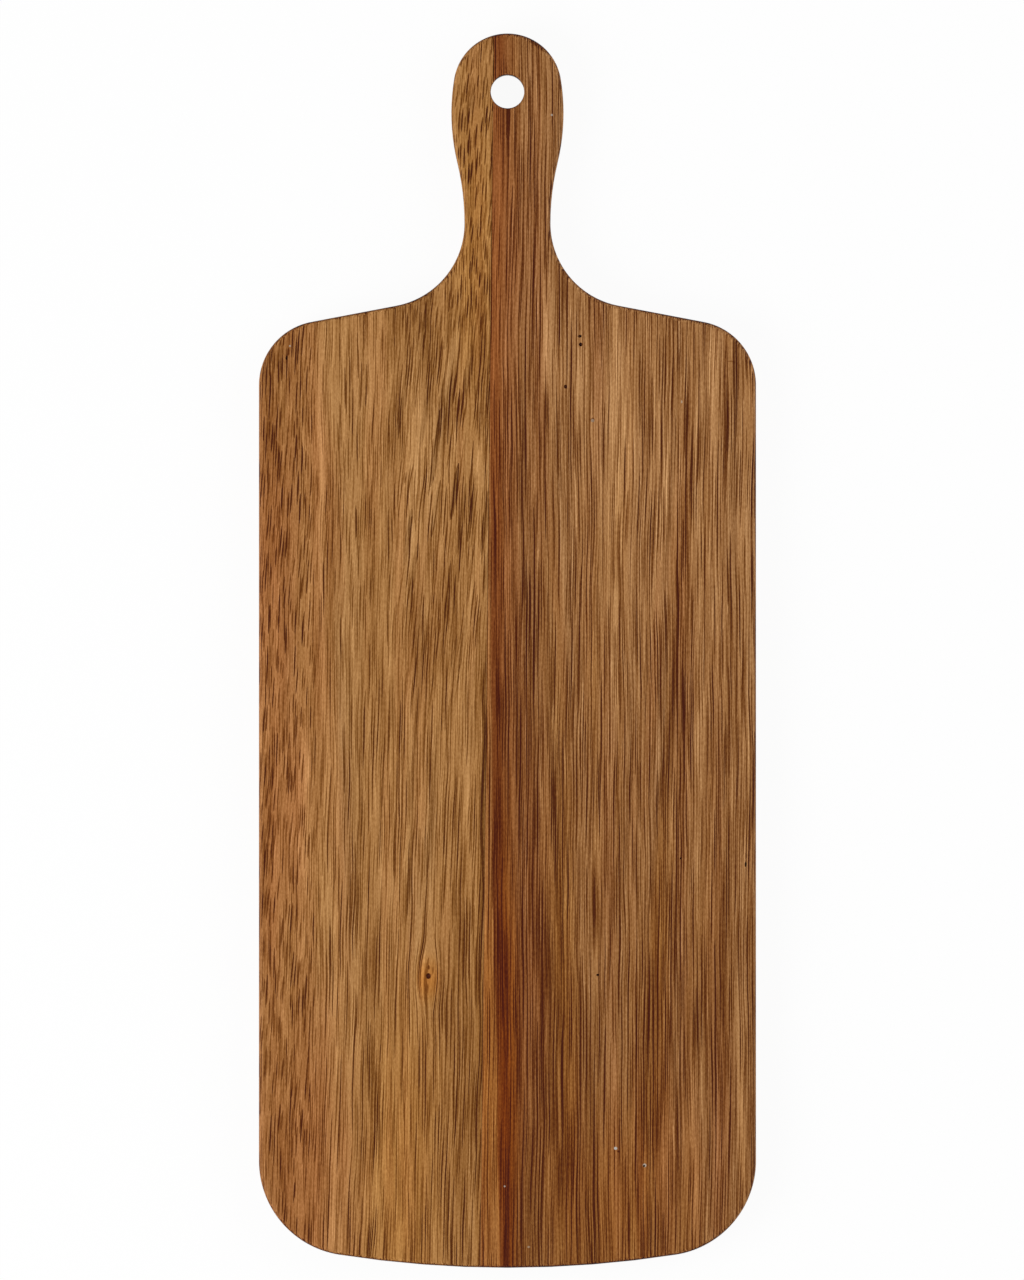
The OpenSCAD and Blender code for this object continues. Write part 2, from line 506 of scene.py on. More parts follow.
def dash_group():
    """Thin pore marks along the grain, one in each cell, with tapering ends: 1 in a pore, 0 between."""
    tree, given, out = new_group(
        "Pore Dashes",
        [("Place", VECTOR, None), ("Width", FLOAT, 0.15), ("Crowd", FLOAT, 0.7)],
        [("Pores", FLOAT)],
    )
    split = add_node(tree, "ShaderNodeSeparateXYZ", {0: given["Place"]})
    column = calc(tree, "FLOOR", split.outputs[0])
    layer = calc(tree, "FLOOR", split.outputs[2])
    layer_turn = calc(tree, "MULTIPLY", layer, LAYER_TURN)
    turn = calc(tree, "SINE", calc(tree, "MULTIPLY_ADD", column, COLUMN_TURN, layer_turn))
    along = calc(tree, "MULTIPLY_ADD", turn, ROW_SHIFT, split.outputs[1])
    row = calc(tree, "FLOOR", along)
    cell = add_node(tree, "ShaderNodeCombineXYZ", {0: column, 1: row, 2: layer})
    chance = add_node(tree, "ShaderNodeTexWhiteNoise", {"Vector": cell.outputs[0]})
    draw = add_node(tree, "ShaderNodeSeparateColor", {0: chance.outputs[1]}).outputs
    reach = pick(tree, draw[0], PORE_REACH)
    from_middle = calc(tree, "SUBTRACT", calc(tree, "FRACT", along), 0.5)
    share = calc(tree, "DIVIDE", from_middle, reach)
    taper = less(tree, 1.0, calc(tree, "MULTIPLY", share, share))
    middle = pick(tree, draw[1], PORE_PLACE)
    aside = calc(tree, "SUBTRACT", calc(tree, "FRACT", split.outputs[0]), middle)
    half = calc(tree, "MULTIPLY", given["Width"], calc(tree, "SQRT", taper))
    rim = [calc(tree, "MULTIPLY", half, part) for part in PORE_RIM]
    inside = ramp(tree, calc(tree, "ABSOLUTE", aside), *rim)
    depth = pick(tree, draw[2], PORE_DEPTH)
    sure = calc(tree, "SUBTRACT", given["Crowd"], PORE_DOUBT)
    there = ramp(tree, chance.outputs[0], given["Crowd"], sure)
    join(tree, out["Pores"], calc(tree, "MULTIPLY", calc(tree, "MULTIPLY", inside, depth), there))
    return tree


def shared_groups():
    """The node groups that both woods use, built the first time they are asked for."""
    makers = {
        "spindle": ("Spindle Mark", spindle_group),
        "stretch": ("Grain Stretch", stretch_group),
        "streaks": ("Grain Streaks", streak_group),
        "dashes": ("Pore Dashes", dash_group),
    }
    return {key: bpy.data.node_groups.get(name) or make() for key, (name, make) in makers.items()}


class Mark(NamedTuple):
    """A mark in the wood: its middle, its reach each way, what it adds, and its lean."""

    x: float
    y: float
    across: float
    along: float
    add: float
    lean: float = 0.0


class Dot(NamedTuple):
    """A pit or speck in the upper face: its middle, its half size each way, and its strength."""

    x: float
    y: float
    across: float
    along: float
    share: float = 1.0


class Pores(NamedTuple):
    """A layer of pore marks: what it adds, its spacing, length, lean and seed, and a mark's half width."""

    add: float
    spacing: float
    long: float
    lean: float
    seed: float
    half: float


class Zone(NamedTuple):
    """A part of the golden stave with pores of its own: its mask, and their lean, length and seed."""

    mask: bpy.types.NodeSocket
    lean: float
    long: float
    seed: float


# Tones are levels from 0 to 255, and lengths in the wood are millimetres
DARK_LEVEL = 50.0
LIGHT_LEVEL = 155.0
THROUGH = 45.0
DEPTH_LEAN = 0.35
PORE_LAYERS = 2.5
SWING = 130.0
# Partly the darker end grain, which soaks up more oil, and partly painted shade on the end faces and on
# the arrises at the foot, the handle's end and the shoulders
END_GRAIN_AND_PAINTED_SHADE = -60.0
PIT_SHADE = -90.0
STAIN_SHADE = -45.0
DEEPEST = 44.0
DEEP_SOFT = 24.0
# Painted shade along every arris, darker where a rounded edge turns away from the light
ARRIS_PAINTED_SHADE = -3.0
ARRIS_TURN = (0.95, 0.6)
END_TURN = (0.35, 0.95)
DOT_DEEP = 3.0
DOT_RIM = (0.05, 0.45)
BROAD_WANDER = 0.8
BROAD_WAVE = (22, 75, 22)
RIPPLE_WAVE = (7, 26, 7)
GRIT_SIZE = (0.5, 1.3, 0.5)
KNOT_PUSH_MOST = 0.6
OILED_ROUGH = 0.5
PORE_ROUGH = 0.2
OILED_GLOSS = 0.12
PORE_DIP = 0.15 * MM
DIP_STRENGTH = 0.35


class WoodSheet:
    """The nodes of one stave's wood, laid out in millimetres."""

    def __init__(self, name, groups, top, ripple):
        self.material = bare_material(name)
        self.tree = self.material.node_tree
        self.groups = groups
        self.top = top
        self.coords = add_node(self.tree, "ShaderNodeTexCoord").outputs
        self.board = vector_calc(self.tree, "MULTIPLY", self.coords["Object"], (1 / MM,) * 3)
        self.place = add_node(self.tree, "ShaderNodeSeparateXYZ", {0: self.board}).outputs
        self.grain = self.board
        below = calc(self.tree, "SUBTRACT", self.place[2], top)
        wander = [
            (DEPTH_LEAN, below),
            (BROAD_WANDER, self.noise(BROAD_WAVE)),
            (ripple, self.noise(RIPPLE_WAVE)),
        ]
        self.along = self.place[1]
        self.deep = calc(self.tree, "MULTIPLY_ADD", below, PORE_LAYERS, top)
        self.grit = self.noise(GRIT_SIZE)
        self.lay_grain(self.total(self.place[0], wander))

    def lay_grain(self, across):
        """Lays the grain out anew, by its distance across the board."""
        ways = {0: across, 1: self.along, 2: self.place[2]}
        self.grain = add_node(self.tree, "ShaderNodeCombineXYZ", ways).outputs[0]
        self.across = self.flow = across

    def part_round(self, knot):
        """Parts the grain round a knot, by what the mark adds in millimetres."""
        aside = calc(self.tree, "SUBTRACT", self.place[0], knot.x)
        away = calc(self.tree, "ABSOLUTE", aside)
        push = self.times(self.spindle(knot, self.board), knot.add)
        least = calc(self.tree, "MINIMUM", push, self.times(away, KNOT_PUSH_MOST))
        inward = self.times(calc(self.tree, "SIGN", aside), -1.0)
        self.lay_grain(self.total(self.across, [(inward, least)]))

    def set_flow(self, leans):
        """Makes the broad streaks lean at the given marks, as growth rings do where they run out."""
        bent = calc(self.tree, "TANH", self.times(self.along, 1 / SWING))
        swing = self.times(bent, SWING)
        lean = self.times(self.marks(leans), swing)
        self.flow = calc(self.tree, "SUBTRACT", self.across, lean)

    def group(self, name, **sockets):
        """What one of the shared node groups puts out."""
        node = add_node(self.tree, "ShaderNodeGroup", node_tree=self.groups[name])
        for key, value in sockets.items():
            join(self.tree, node.inputs[key], value)
        return node.outputs[0]

    def times(self, *values):
        """The product of values."""
        result = values[0]
        for value in values[1:]:
            result = calc(self.tree, "MULTIPLY", result, value)
        return result

    def total(self, start, parts):
        """A start and the weighted values, added one by one, so that the shader holds few at once."""
        result = start
        for weight, value in parts:
            result = calc(self.tree, "MULTIPLY_ADD", value, weight, result)
        return result

    def between(self, low, high, soft):
        """1 where the grain lies between two distances from the board's middle."""
        rise = ramp(self.tree, self.across, low - soft, low + soft)
        return self.times(rise, ramp(self.tree, self.across, high + soft, high - soft))

    def spindle(self, mark, where=None):
        """A given mark's mask, laid on the grain unless told where."""
        return self.group(
            "spindle",
            Grain=where or self.grain,
            Middle=(mark.x, mark.y, self.top),
            Reach=(mark.across, mark.along, THROUGH),
            Lean=mark.lean,
        )

    def marks(self, placed):
        """The sum of the given marks."""
        return self.total(0.0, ((mark.add, self.spindle(mark)) for mark in placed))

    def dots(self, placed):
        """1 inside small dots on the upper face, placed by their true distance across the board."""
        result = 0.0
        for dot in placed:
            middle, reach = (dot.x, dot.y, self.top), (dot.across, dot.along, DOT_DEEP)
            mask = self.group("spindle", Grain=self.board, Middle=middle, Reach=reach)
            inside = ramp(self.tree, mask, *DOT_RIM, 0.0, dot.share)
            result = calc(self.tree, "MAXIMUM", result, inside)
        return result

    def noise(self, size):
        """Even noise, about -1 to 1, with features of the given size in millimetres."""
        return even_noise(self.tree, vector_calc(self.tree, "DIVIDE", self.grain, size))

    def stretch(self, across, deep, spacing, long, lean, seed):
        """A point's place among marks of the given spacing and length."""
        place = {"Across": across, "Along": self.along, "Deep": deep}
        return self.group("stretch", **place, Spacing=spacing, Length=long, Lean=lean, Seed=seed)

    def rings(self, spacing, long, seed):
        """Broad streaks that run with the growth rings."""
        place = self.stretch(self.flow, self.place[2], spacing, long, 0.0, seed)
        return self.group("streaks", Place=place)

    def pores(self, level, layers, crowd):
        """The level with layers of pore marks laid on it."""
        return self.total(level, ((layer.add, self.dashes(*layer[1:], crowd)) for layer in layers))

    def dashes(self, spacing, long, lean, seed, half, crowd):
        """Pore marks of the given half width in millimetres."""
        place = self.stretch(self.across, self.deep, spacing, long, lean, seed)
        return self.group("dashes", Place=place, Width=half / spacing, Crowd=crowd)

    def zone_dashes(self, zone, layer, crowd):
        """Pore marks in one zone. The layer's length and lean are shares of the zone's."""
        long, lean = layer.long * zone.long, layer.lean * zone.lean
        seed = layer.seed + zone.seed
        return self.times(zone.mask, self.dashes(layer.spacing, long, lean, seed, layer.half, crowd))

    def edges(self):
        """What the arrises and ends take off the level: painted shade along every arris, and on the end
        faces and end arrises a darkening that is partly end grain soaking up more oil and partly painted
        shade.
        """
        normal = add_node(self.tree, "ShaderNodeSeparateXYZ", {0: self.coords["Normal"]}).outputs
        flat = calc(self.tree, "ABSOLUTE", normal[2])
        turned = ramp(self.tree, flat, *ARRIS_TURN)
        end = ramp(self.tree, calc(self.tree, "ABSOLUTE", normal[1]), *END_TURN)
        return self.total(0.0, [(ARRIS_PAINTED_SHADE, turned), (END_GRAIN_AND_PAINTED_SHADE, self.times(turned, end))])

    def mix(self, share, colour, other, **settings):
        """Two colours, mixed by a share."""
        node = add_node(
            self.tree, "ShaderNodeMix", {0: share, 6: colour, 7: other}, data_type="RGBA", **settings
        )
        return node.outputs[2]

    def finish(self, level, wood_tones, tints, pits, specks, speck_tone, pores):
        """Turns tone into colour, and lays the oiled satin finish on it."""
        tree = self.tree
        dark, light = wood_tones
        level = calc(tree, "SMOOTH_MAX", level, DEEPEST, DEEP_SOFT)
        # Painted shade along the arrises and at the ends is taken off here, partly real end grain at the
        # ends
        level = calc(tree, "ADD", level, self.edges())
        level = self.total(level, [(PIT_SHADE, pits)])
        above = calc(tree, "SUBTRACT", level, DARK_LEVEL)
        share = calc(tree, "DIVIDE", above, LIGHT_LEVEL - DARK_LEVEL)
        wood = self.mix(share, (*dark, 1), (*light, 1), clamp_factor=False)
        for amount, tint in tints:
            wood = self.mix(amount, wood, (*tint, 1), blend_type="MULTIPLY", clamp_factor=True)
        filled = self.mix(less(tree, specks, pits), wood, (*speck_tone, 1))
        colour = add_node(tree, "ShaderNodeGamma", {0: filled, 1: DISPLAY_GAMMA}).outputs[0]
        rough = calc(tree, "MULTIPLY_ADD", pores, PORE_ROUGH, OILED_ROUGH)
        height = self.times(pores, -1.0)
        bump = add_node(
            tree, "ShaderNodeBump", {"Height": height, "Strength": DIP_STRENGTH, "Distance": PORE_DIP}
        )
        shader = add_node(
            tree,
            "ShaderNodeBsdfPrincipled",
            {
                "Base Color": colour,
                "Roughness": rough,
                "Normal": bump.outputs[0],
                "Specular IOR Level": OILED_GLOSS,
            },
        )
        add_node(tree, "ShaderNodeOutputMaterial", {0: shader.outputs[0]})
        return self.material


# What is placed one by one: the knot, then pits, stains and specks, then leans, bands and tints
KNOT = Mark(-28.3, -117, 8, 16, 2.1)
KNOT_HALO = Mark(-28.0, -117, 1.9, 5.5, 0.6)

LEFT_PITS = [Dot(-28.3, -116.5, 1.2, 1.35), Dot(-79.1, 104.8, 0.5, 0.9)]
LEFT_STAINS = [
    Dot(-28.2, -113.4, 0.6, 1.2),
    Dot(-28.5, -120.8, 0.35, 2.6),
    Dot(-26.7, -114.6, 0.35, 1.9),
    Dot(-78.4, 107, 0.6, 2.0),
]
LEFT_SPECKS = [Dot(-77.9, 109.1, 0.5, 0.5, 0.7)]
RIGHT_PITS = [
    Dot(25.9, 112.6, 0.95, 0.65),
    Dot(26.2, 109.6, 0.9, 0.9),
    Dot(20.8, 94.5, 0.8, 0.9),
    Dot(85.3, -76.5, 0.5, 1.3),
    Dot(62.0, -74.4, 0.4, 0.5, 0.6),
    Dot(32.3, -116.1, 0.7, 0.5),
    Dot(48.9, -184.5, 0.5, 0.5),
]
RIGHT_STAINS = [
    Dot(78.0, 106, 0.3, 2.2, 0.6),
    Dot(79.9, 103.6, 1.5, 0.35, 0.6),
    Dot(30.5, 82.6, 1.1, 1.2),
    Dot(25.9, 116, 0.4, 2.2, 0.5),
    Dot(85.4, -73.4, 0.5, 2.0, 0.5),
    Dot(39.7, -179.3, 0.6, 0.6),
]
RIGHT_SPECKS = [
    Dot(62.4, 89.1, 0.35, 0.8, 0.6),
    Dot(30.5, 82.4, 0.9, 0.9, 0.5),
    Dot(38.7, -178.2, 0.9, 0.8),
    Dot(49.1, -184.3, 1.0, 1.0, 0.8),
    Dot(-1.0, -191.8, 0.5, 0.5, 0.8),
    Dot(7.6, -213.5, 0.7, 0.6, 0.5),
    Dot(15.9, 191.8, 0.6, 0.6, 0.7),
]

LEFT_LEANS = [Mark(-24, 0, 26, 400, 0.11), Mark(-62, 0, 16, 400, -0.03)]
LEFT_BANDS = [
    Mark(-84, 78, 6, 60, -17),
    Mark(-86, -65, 4, 60, -15),
    Mark(-72.5, -55, 5, 65, 15),
    Mark(-80, -190, 14, 60, -12),
    Mark(-67, 70, 2.0, 70, 30, -0.005),
    Mark(-62, 40, 7, 60, -10),
    Mark(-64, -70, 2.2, 150, 12, -0.02),
    Mark(-55, 25, 2.2, 75, 12, -0.02),
    Mark(-48, 10, 1.8, 60, -13),
    Mark(-48.5, -145, 4.5, 80, -16),
    Mark(-33.5, 52, 6.5, 38, 14),
    Mark(-33, -3, 4.5, 34, -18),
    Mark(-21, 20, 6, 50, -20, 0.15),
    Mark(-14.5, -45, 2.2, 60, 16, -0.02),
    Mark(-9.2, -75, 1.5, 110, -50, 0.011),
    Mark(-18, -150, 9, 120, -22),
    Mark(-43.5, -175, 2, 40, 10),
    Mark(-34.7, -175, 3, 40, 10),
    Mark(-29, 115, 7, 35, -14),
    Mark(-20.5, 85, 2.2, 40, -22, 0.15),
    Mark(-8, 108, 2.4, 48, -24, 0.011),
    Mark(-10.5, -170, 2.5, 80, -16),
    Mark(-17.5, -140, 2.5, 50, 14),
    Mark(-27, 66, 4.5, 32, 22),
    Mark(-29, -145, 6, 50, -12),
    Mark(-45, -20, 4, 45, -10),
    Mark(-52, 90, 5, 45, 12),
    Mark(-53.5, -55, 3.5, 50, -15),
    Mark(-53, -205, 2.5, 25, -16),
    Mark(-64, -93, 3, 35, -16),
    Mark(-71, 25, 3, 40, 12),
    Mark(-75, -180, 3, 35, 14),
    Mark(-84, -140, 5, 35, -12),
    Mark(-32, 85, 6, 40, 14),
    Mark(-35.5, -72, 2, 25, 14),
    Mark(-14, -104, 2, 18, 16),
    Mark(-17.5, -157, 2, 25, 12),
    Mark(-25, -157, 2.5, 25, -12),
    Mark(-43, 25, 2.5, 20, -13),
    Mark(-78.5, -125, 2.5, 18, -14),
    Mark(-10.5, 66, 2, 20, 14),
    Mark(-12.8, 195, 1.6, 8, -28, 0.15),
    Mark(-12.9, 171, 1.8, 8, -22, 0.05),
]
RIGHT_LEANS = [Mark(14.5, 0, 19, 400, -0.055), Mark(56, 0, 30, 400, 0.07)]
RIGHT_BANDS = [
    Mark(-4, 140, 3.5, 120, 36),
    Mark(-3, -75, 4.5, 85, -14),
    Mark(7, 70, 2.5, 36, -20),
    Mark(8, -35, 7, 130, -20),
    Mark(14.5, 112, 2.6, 32, 22),
    Mark(4.2, -40, 1.1, 130, -20, -0.02),
    Mark(9.5, -53, 2.2, 200, -20, -0.033),
    Mark(17, -61, 2.4, 130, -20, -0.047),
    Mark(10, -160, 18, 170, -14),
    Mark(27, -195, 13, 110, -26),
    Mark(38.5, 75, 12, 90, 29),
    Mark(44.5, 45, 4, 100, 14),
    Mark(54, 65, 6, 55, 22),
    Mark(52, -165, 5, 75, -13),
    Mark(55.5, -68, 3, 190, -25, 0.067),
    Mark(62, -60, 4, 110, -15, 0.042),
    Mark(68.5, -30, 2, 45, 14),
    Mark(77, -110, 3.4, 120, -12),
    Mark(84.5, 35, 5, 95, 17),
    Mark(82.5, -155, 2.2, 70, 18),
    Mark(56, 82, 2, 30, -12),
    Mark(50.3, 82, 2, 30, -12),
    Mark(74, 75, 3, 85, 24),
    Mark(67, -180, 4.5, 50, 20),
    Mark(45, -180, 60, 260, -8),
    Mark(4, 200, 4, 16, -10),
    Mark(11.3, 216.8, 2.4, 8, -40, -1.3),
    Mark(15, 105, 4, 40, 14),
    Mark(14.5, -130, 2.5, 110, -20),
    Mark(1.5, -75, 4, 50, -12),
    Mark(19.5, -190, 4, 50, -10),
    Mark(37.5, -10, 4, 70, 18),
    Mark(48.5, -180, 4, 45, -13),
    Mark(63.5, 10, 6, 100, -11),
    Mark(87, -130, 3, 130, -14),
    Mark(25.5, 100, 2.5, 28, 16),
    Mark(38, 68, 2.5, 28, -16),
    Mark(39.5, 14, 2.5, 25, 18),
    Mark(48.5, 48, 2.5, 22, 18),
    Mark(43, -34, 2.2, 22, 16),
    Mark(54, -36, 2.2, 24, 18),
    Mark(20, -104, 3, 22, -18),
    Mark(31.5, -92, 3, 30, -15),
    Mark(53, -167, 6, 25, -15),
    Mark(43, -180, 4, 25, -13),
    Mark(16, -202, 3.5, 22, -15),
]
LEFT_RED = [
    Mark(-84, 0, 34, 300, 0.6),
    Mark(-72, -190, 34, 90, 0.6),
    Mark(-27.5, -118, 5, 13, 0.6),
]
LEFT_GOLD = [
    Mark(-12, 150, 14, 90, 0.5),
    Mark(-9.5, -150, 3, 120, 0.4),
    Mark(-38, -190, 22, 100, 0.5),
    Mark(-27.6, -118, 4.5, 12, 0.9),
]
LEFT_GREY = [
    Mark(-21.5, 92, 3.5, 45, 0.8, 0.15),
    Mark(-57, -40, 9, 120, 0.8),
    Mark(-33, -89, 5, 40, 0.6),
    Mark(-27.5, -62, 2.5, 45, 0.8, 0.05),
    Mark(-9.3, -85, 1.5, 120, 1.0, 0.011),
    Mark(-12.8, 195, 2, 9, 0.9, 0.15),
]
RIGHT_RED = [
    Mark(77, -170, 6, 60, 0.3),
    Mark(6, -120, 14, 140, 0.5),
    Mark(45, -190, 40, 60, 0.4),
    Mark(8, 150, 16, 80, 0.3),
    Mark(6, 60, 11, 150, 0.25),
    Mark(62, 30, 5, 130, 0.25, 0.01),
]
RIGHT_GOLD = [
    Mark(20, -120, 11, 150, 0.5, -0.03),
    Mark(54, -130, 9, 110, 0.5, 0.05),
    Mark(-7, -160, 4, 90, 0.7),
    Mark(0.5, -155, 6, 130, 1.4),
    Mark(40, -205, 50, 70, 0.6),
]
RIGHT_RUST = [Mark(-1, -140, 4.5, 120, 1.3, -0.023)]
RIGHT_GREY = [
    Mark(17.5, -46, 5, 70, 0.4, -0.04),
    Mark(54, -40, 3, 100, 0.6, 0.067),
    Mark(81, 60, 4, 90, 0.6),
    Mark(30, 60, 14, 90, 0.3),
]

# The golden stave: its tone and crowding, its parts across and along, and its pores
LEFT_BASE = 130.5
LEFT_CROWD = 0.66
LEFT_RIPPLE = 0.3
OUTER_PART = (-200, -69, 4)
SLANTING_PART = (-40, 2, 6)
HANDLE_RISE = (95.0, 135.0)
UPPER_RISE = (-40.0, 40.0)
BUSY_RISE = (-60.0, 60.0)
GATHER_SIZE = (6, 24, 6)
FIGURE = Mark(-24, 60, 40, 125, 1)
SLASHES = Pores(-30, 4.4, 44, 0.15, 211.37, 1.0)
FLECKS = Pores(-12, 2.6, 20, 0.09, 221.37, 0.7)
FLECK_CROWD = 0.6
PALE_CROWD = 0.8
HAIR_CROWD = 0.78
SLANT_LINES = Pores(-80, 1.1, 40, 0.14, 231.37, 0.24)
ZONE_PORES = Pores(-80, 1.4, 1.0, 1.0, 0, 0.26)
ZONE_HAIRS = Pores(-68, 1.0, 0.8, 0.8, 20, 0.22)
ZONE_PALE = Pores(17, 0.9, 0.9, 1.0, 40, 0.24)
LEFT_HAIRS = [Pores(-54, 0.75, 36, 0.02, 31.37, 0.19), Pores(18, 0.65, 30, 0.02, 51.37, 0.18)]


def left_wood(groups, tones, top):
    """Golden wood with slanting, broken pore marks, a speckled outer edge and a pin knot."""
    sheet = WoodSheet("Golden stave wood", groups, top, LEFT_RIPPLE)
    sheet.part_round(KNOT)
    sheet.set_flow(LEFT_LEANS)
    tree = sheet.tree
    outer = sheet.between(*OUTER_PART)
    slanting = sheet.between(*SLANTING_PART)
    handle = ramp(tree, sheet.along, *HANDLE_RISE)
    blade = calc(tree, "SUBTRACT", 1.0, handle)
    upper = ramp(tree, sheet.along, *UPPER_RISE)
    inner = calc(tree, "SUBTRACT", 1.0, outer)
    high = sheet.times(inner, upper)
    halo = sheet.times(sheet.spindle(KNOT_HALO, sheet.board), KNOT_HALO.add)
    bands = sheet.marks(LEFT_BANDS)
    ring = sheet.rings(2.2, 110, 51.37)
    calm = less(tree, high, slanting)
    low = less(tree, inner, high)
    busy = sheet.total(ramp(tree, sheet.along, *BUSY_RISE, 0.15, 1.0), [(-0.6, calm)])
    gather = sheet.times(sheet.noise(GATHER_SIZE), busy)
    figured = sheet.times(slanting, sheet.spindle(FIGURE))
    slashed = sheet.total(0.65, [(0.3, gather)])
    slashes = sheet.times(figured, sheet.dashes(*SLASHES[1:], slashed))
    flecks = sheet.times(outer, sheet.dashes(*FLECKS[1:], FLECK_CROWD))
    lined = sheet.total(0.3, [(0.2, gather), (0.9, slashes)])
    lines = sheet.times(figured, sheet.dashes(*SLANT_LINES[1:], lined))
    crowding = [(0.2, gather), (-0.012, bands), (-0.15, ring), (0.3, slashes), (0.2, flecks)]
    by_place = [(-1.5, halo), (0.15, handle), (-0.1, calm), (0.14, low)]
    crowd = sheet.total(LEFT_CROWD, crowding + by_place)
    shading = [(0.9, bands), (10.0, ring), (5.0, sheet.rings(7, 160, 41.37)), (11.0, sheet.grit)]
    slanted = [(SLASHES.add, slashes), (SLANT_LINES.add, lines), (FLECKS.add, flecks)]
    level = sheet.total(LEFT_BASE, [*shading, (-7.0, outer), *slanted])
    hollows = 0.0
    zones = (
        Zone(sheet.times(outer, ramp(tree, sheet.along, *BUSY_RISE, 0.9, 1.08)), 0.06, 18, 1.37),
        Zone(sheet.times(low, 0.85), 0.03, 62, 151.37),
        Zone(sheet.times(calm, 0.8), 0.005, 30, 101.37),
        Zone(sheet.times(high, slanting, blade), 0.08, 38, 201.37),
        Zone(sheet.times(high, slanting, handle), 0.07, 13, 401.37),
    )
    for zone in zones:
        pores = sheet.zone_dashes(zone, ZONE_PORES, crowd)
        hollows = calc(tree, "ADD", hollows, pores)
        level = sheet.total(level, [(ZONE_PORES.add, pores)])
        level = sheet.total(level, [(ZONE_HAIRS.add, sheet.zone_dashes(zone, ZONE_HAIRS, crowd))])
        level = sheet.total(level, [(ZONE_PALE.add, sheet.zone_dashes(zone, ZONE_PALE, PALE_CROWD))])
    level = sheet.pores(level, LEFT_HAIRS, less(tree, HAIR_CROWD, halo))
    level = sheet.total(level, [(STAIN_SHADE, sheet.dots(LEFT_STAINS))])
    red = sheet.total(sheet.marks(LEFT_RED), [(0.25, sheet.rings(6, 90, 71.37))])
    gold = sheet.marks(LEFT_GOLD)
    grey = sheet.total(sheet.marks(LEFT_GREY), [(0.35, sheet.rings(5, 120, 81.37)), (1.0, slashes)])
    tints = ((red, tones.red), (gold, tones.gold), (grey, tones.grey))
    pits, specks = sheet.dots(LEFT_PITS), sheet.dots(LEFT_SPECKS)
    wood = (tones.left_dark, tones.left_light)
    return sheet.finish(level, wood, tints, pits, specks, tones.speck, hollows)


# The brown stave: its tone and crowding, its heart along the joint, and its pores
RIGHT_BASE = 121.3
RIGHT_CROWD = 0.8
RIGHT_RIPPLE = 0.18
HEART_START = -5.8
HEART_DRIFT = 0.022
DRIFT_BELOW = -70.0
HEART_EDGE = (-0.35, 0.25)
HEART_TAIL = (13.0, 4.0)
HEART_CORE = (5.5, 2.5)
LINE_CROWD = 0.85
CROWD_SIZE = (6, 60, 6)
OUTWARD_GAIN = (30.0, 60.0, 1.0, 1.12)
UPWARD_GAIN = (-200.0, 130.0, 0.9, 1.3)
MAIN_PORES = Pores(-62, 1.6, 95, 0.005, 301.37, 0.28)
RIGHT_PORES = [Pores(-53, 1.0, 52, 0.0, 321.37, 0.2), Pores(-49, 1.2, 110, 0.0, 341.37, 0.18)]
RIGHT_HAIRS = [
    Pores(-46, 0.75, 42, 0.01, 331.37, 0.18),
    Pores(17, 1.1, 64, 0.0, 351.37, 0.28),
    Pores(20, 0.65, 40, 0.0, 361.37, 0.18),
]


def right_wood(groups, tones, top):
    """Brown wood with long straight grain lines and a red heart band along the joint."""
    sheet = WoodSheet("Brown stave wood", groups, top, RIGHT_RIPPLE)
    sheet.set_flow(RIGHT_LEANS)
    tree = sheet.tree
    drift = less(tree, DRIFT_BELOW, sheet.along)
    start = calc(tree, "MULTIPLY_ADD", drift, HEART_DRIFT, HEART_START)
    past = calc(tree, "SUBTRACT", sheet.across, start)
    beyond = ramp(tree, past, *HEART_EDGE)
    tail = sheet.times(ramp(tree, past, *HEART_TAIL), 0.5)
    heart = sheet.times(beyond, sheet.total(tail, [(0.5, ramp(tree, past, *HEART_CORE))]))
    wedge = calc(tree, "SUBTRACT", 1.0, beyond)
    bands = sheet.marks(RIGHT_BANDS)
    ring = sheet.rings(2.0, 160, 81.37)
    gather = sheet.noise(CROWD_SIZE)
    crowding = [(0.12, gather), (-0.015, bands), (-0.1, heart), (-0.12, ring)]
    crowd = sheet.total(RIGHT_CROWD, crowding)
    pores = sheet.dashes(*MAIN_PORES[1:], crowd)
    shading = [(0.75, bands), (7.0, ring), (12.0, sheet.grit), (MAIN_PORES.add, pores)]
    level = sheet.total(RIGHT_BASE, [*shading, (-34.0, heart), (4.0, wedge)])
    level = sheet.total(level, [(5.0, sheet.rings(6, 220, 71.37))])
    lines = sheet.pores(0.0, RIGHT_PORES, crowd)
    lines = sheet.pores(lines, RIGHT_HAIRS, sheet.total(LINE_CROWD, [(-0.15, heart)]))
    lines = sheet.times(lines, ramp(tree, sheet.across, *OUTWARD_GAIN))
    level = sheet.total(level, [(ramp(tree, sheet.along, *UPWARD_GAIN), lines)])
    level = sheet.total(level, [(STAIN_SHADE, sheet.dots(RIGHT_STAINS))])
    red = sheet.total(sheet.marks(RIGHT_RED), [(0.5, wedge), (0.25, sheet.rings(5, 160, 371.37))])
    gold = sheet.total(sheet.marks(RIGHT_GOLD), [(0.5, wedge), (0.25, sheet.rings(7, 160, 391.37))])
    grey = sheet.total(sheet.marks(RIGHT_GREY), [(0.35, sheet.rings(4, 160, 381.37))])
    rust = sheet.marks(RIGHT_RUST)
    tints = (
        (heart, tones.heart),
        (red, tones.red),
        (gold, tones.gold),
        (rust, tones.gold),
        (grey, tones.grey),
    )
    pits, specks = sheet.dots(RIGHT_PITS), sheet.dots(RIGHT_SPECKS)
    wood = (tones.right_dark, tones.right_light)
    return sheet.finish(level, wood, tints, pits, specks, tones.speck, pores)


# The glue film
GLUE_MOTTLE = 260.0
GLUE_DETAIL = 3.0
GLUE_SOAKED = 0.7
GLUE_ROUGH = 0.45
GLUE_GLOSS = 0.3


